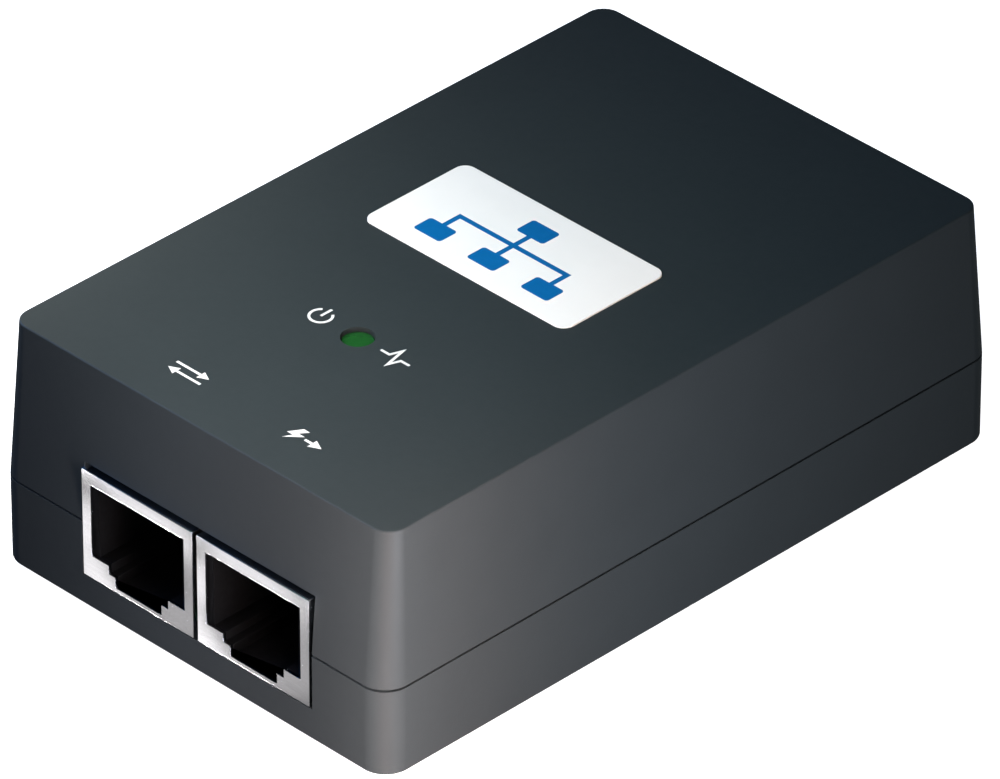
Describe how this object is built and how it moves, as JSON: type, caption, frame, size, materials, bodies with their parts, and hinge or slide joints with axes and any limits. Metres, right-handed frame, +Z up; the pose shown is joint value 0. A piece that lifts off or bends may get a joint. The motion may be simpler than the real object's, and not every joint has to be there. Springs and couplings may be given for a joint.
{
  "type": "poe injector",
  "caption": "Small power-over-Ethernet injector: two-part case, two shielded network jacks in front, mains inlet behind.",
  "frame": {"origin": "centre of the overall box in plan, on the plane the feet stand on", "axes": "-Y is the front with the two jacks, +Y the rear with the mains inlet, +X right seen from the front, +Z up"},
  "size_m": [0.0558, 0.087, 0.0291],
  "materials": {
    "case_plastic": "satin, finely textured",
    "label_film": "satin print film",
    "green_lens": "clear green",
    "foot_rubber": "matte",
    "screw_steel": "dull plated",
    "shield_steel": "bright nickel plate",
    "black_plastic": "satin",
    "contact_gold": "gold flash",
    "pin_metal": "nickel plate",
    "board_laminate": "solder resist",
    "clear_film": "satin",
    "fuse_glass": "clear",
    "ferrite": "matte",
    "copper_wire": "enamelled",
    "yellow_tape": "satin",
    "yellow_box": "satin",
    "blue_disc": "dipped",
    "capacitor_sleeve": "shrink film",
    "chip_epoxy": "moulded",
    "heatsink_aluminium": "plain",
    "bobbin_plastic": "satin"
  },
  "bodies": {
    "case": {"top_cover": "case_plastic", "base_shell": "case_plastic", "label_plate": "label_film", "light_pipe": "green_lens", "inlet_housing": "black_plastic", "inlet_line_pin": "pin_metal", "inlet_neutral_pin": "pin_metal", "inlet_earth_pin": "pin_metal", "circuit_board": "board_laminate", "insulation_sheet": "clear_film", "fuse": "fuse_glass", "choke_core": "ferrite", "choke_winding_line": "copper_wire", "choke_winding_neutral": "copper_wire", "x_capacitor": "yellow_box", "bridge_rectifier": "chip_epoxy", "bulk_capacitor": "capacitor_sleeve", "primary_heatsink": "heatsink_aluminium", "switching_transistor": "chip_epoxy", "controller_chip": "chip_epoxy", "transformer_core": "ferrite", "transformer_bobbin": "bobbin_plastic", "transformer_winding": "yellow_tape", "y_capacitor": "blue_disc", "optocoupler": "chip_epoxy", "output_diode": "chip_epoxy", "output_inductor": "copper_wire", "output_capacitor_1": "capacitor_sleeve", "output_capacitor_2": "capacitor_sleeve", "status_led": "green_lens", "foot_1": "foot_rubber", "case_screw_1": "screw_steel", "foot_2": "foot_rubber", "case_screw_2": "screw_steel", "foot_3": "foot_rubber", "case_screw_3": "screw_steel", "foot_4": "foot_rubber", "case_screw_4": "screw_steel", "lan_shield": "shield_steel", "lan_housing": "black_plastic", "lan_contact_carrier": "black_plastic", "poe_shield": "shield_steel", "poe_housing": "black_plastic", "poe_contact_carrier": "black_plastic"},
    "lan_contacts": {"lan_contact_1": "contact_gold", "lan_contact_2": "contact_gold", "lan_contact_3": "contact_gold", "lan_contact_4": "contact_gold", "lan_contact_5": "contact_gold", "lan_contact_6": "contact_gold", "lan_contact_7": "contact_gold", "lan_contact_8": "contact_gold"},
    "poe_contacts": {"poe_contact_1": "contact_gold", "poe_contact_2": "contact_gold", "poe_contact_3": "contact_gold", "poe_contact_4": "contact_gold", "poe_contact_5": "contact_gold", "poe_contact_6": "contact_gold", "poe_contact_7": "contact_gold", "poe_contact_8": "contact_gold"}
  },
  "joints": [
    {"name": "lan_contact_spring", "type": "hinge", "parent": "case", "child": "lan_contacts", "pos_m": [-0.0074, -0.0399, 0.01562], "axis": [1, 0, 0], "range_deg": [0, 10], "stiffness_Nm_per_rad": 0.24},
    {"name": "poe_contact_spring", "type": "hinge", "parent": "case", "child": "poe_contacts", "pos_m": [0.0092, -0.0399, 0.01562], "axis": [1, 0, 0], "range_deg": [0, 10], "stiffness_Nm_per_rad": 0.24}
  ]
}
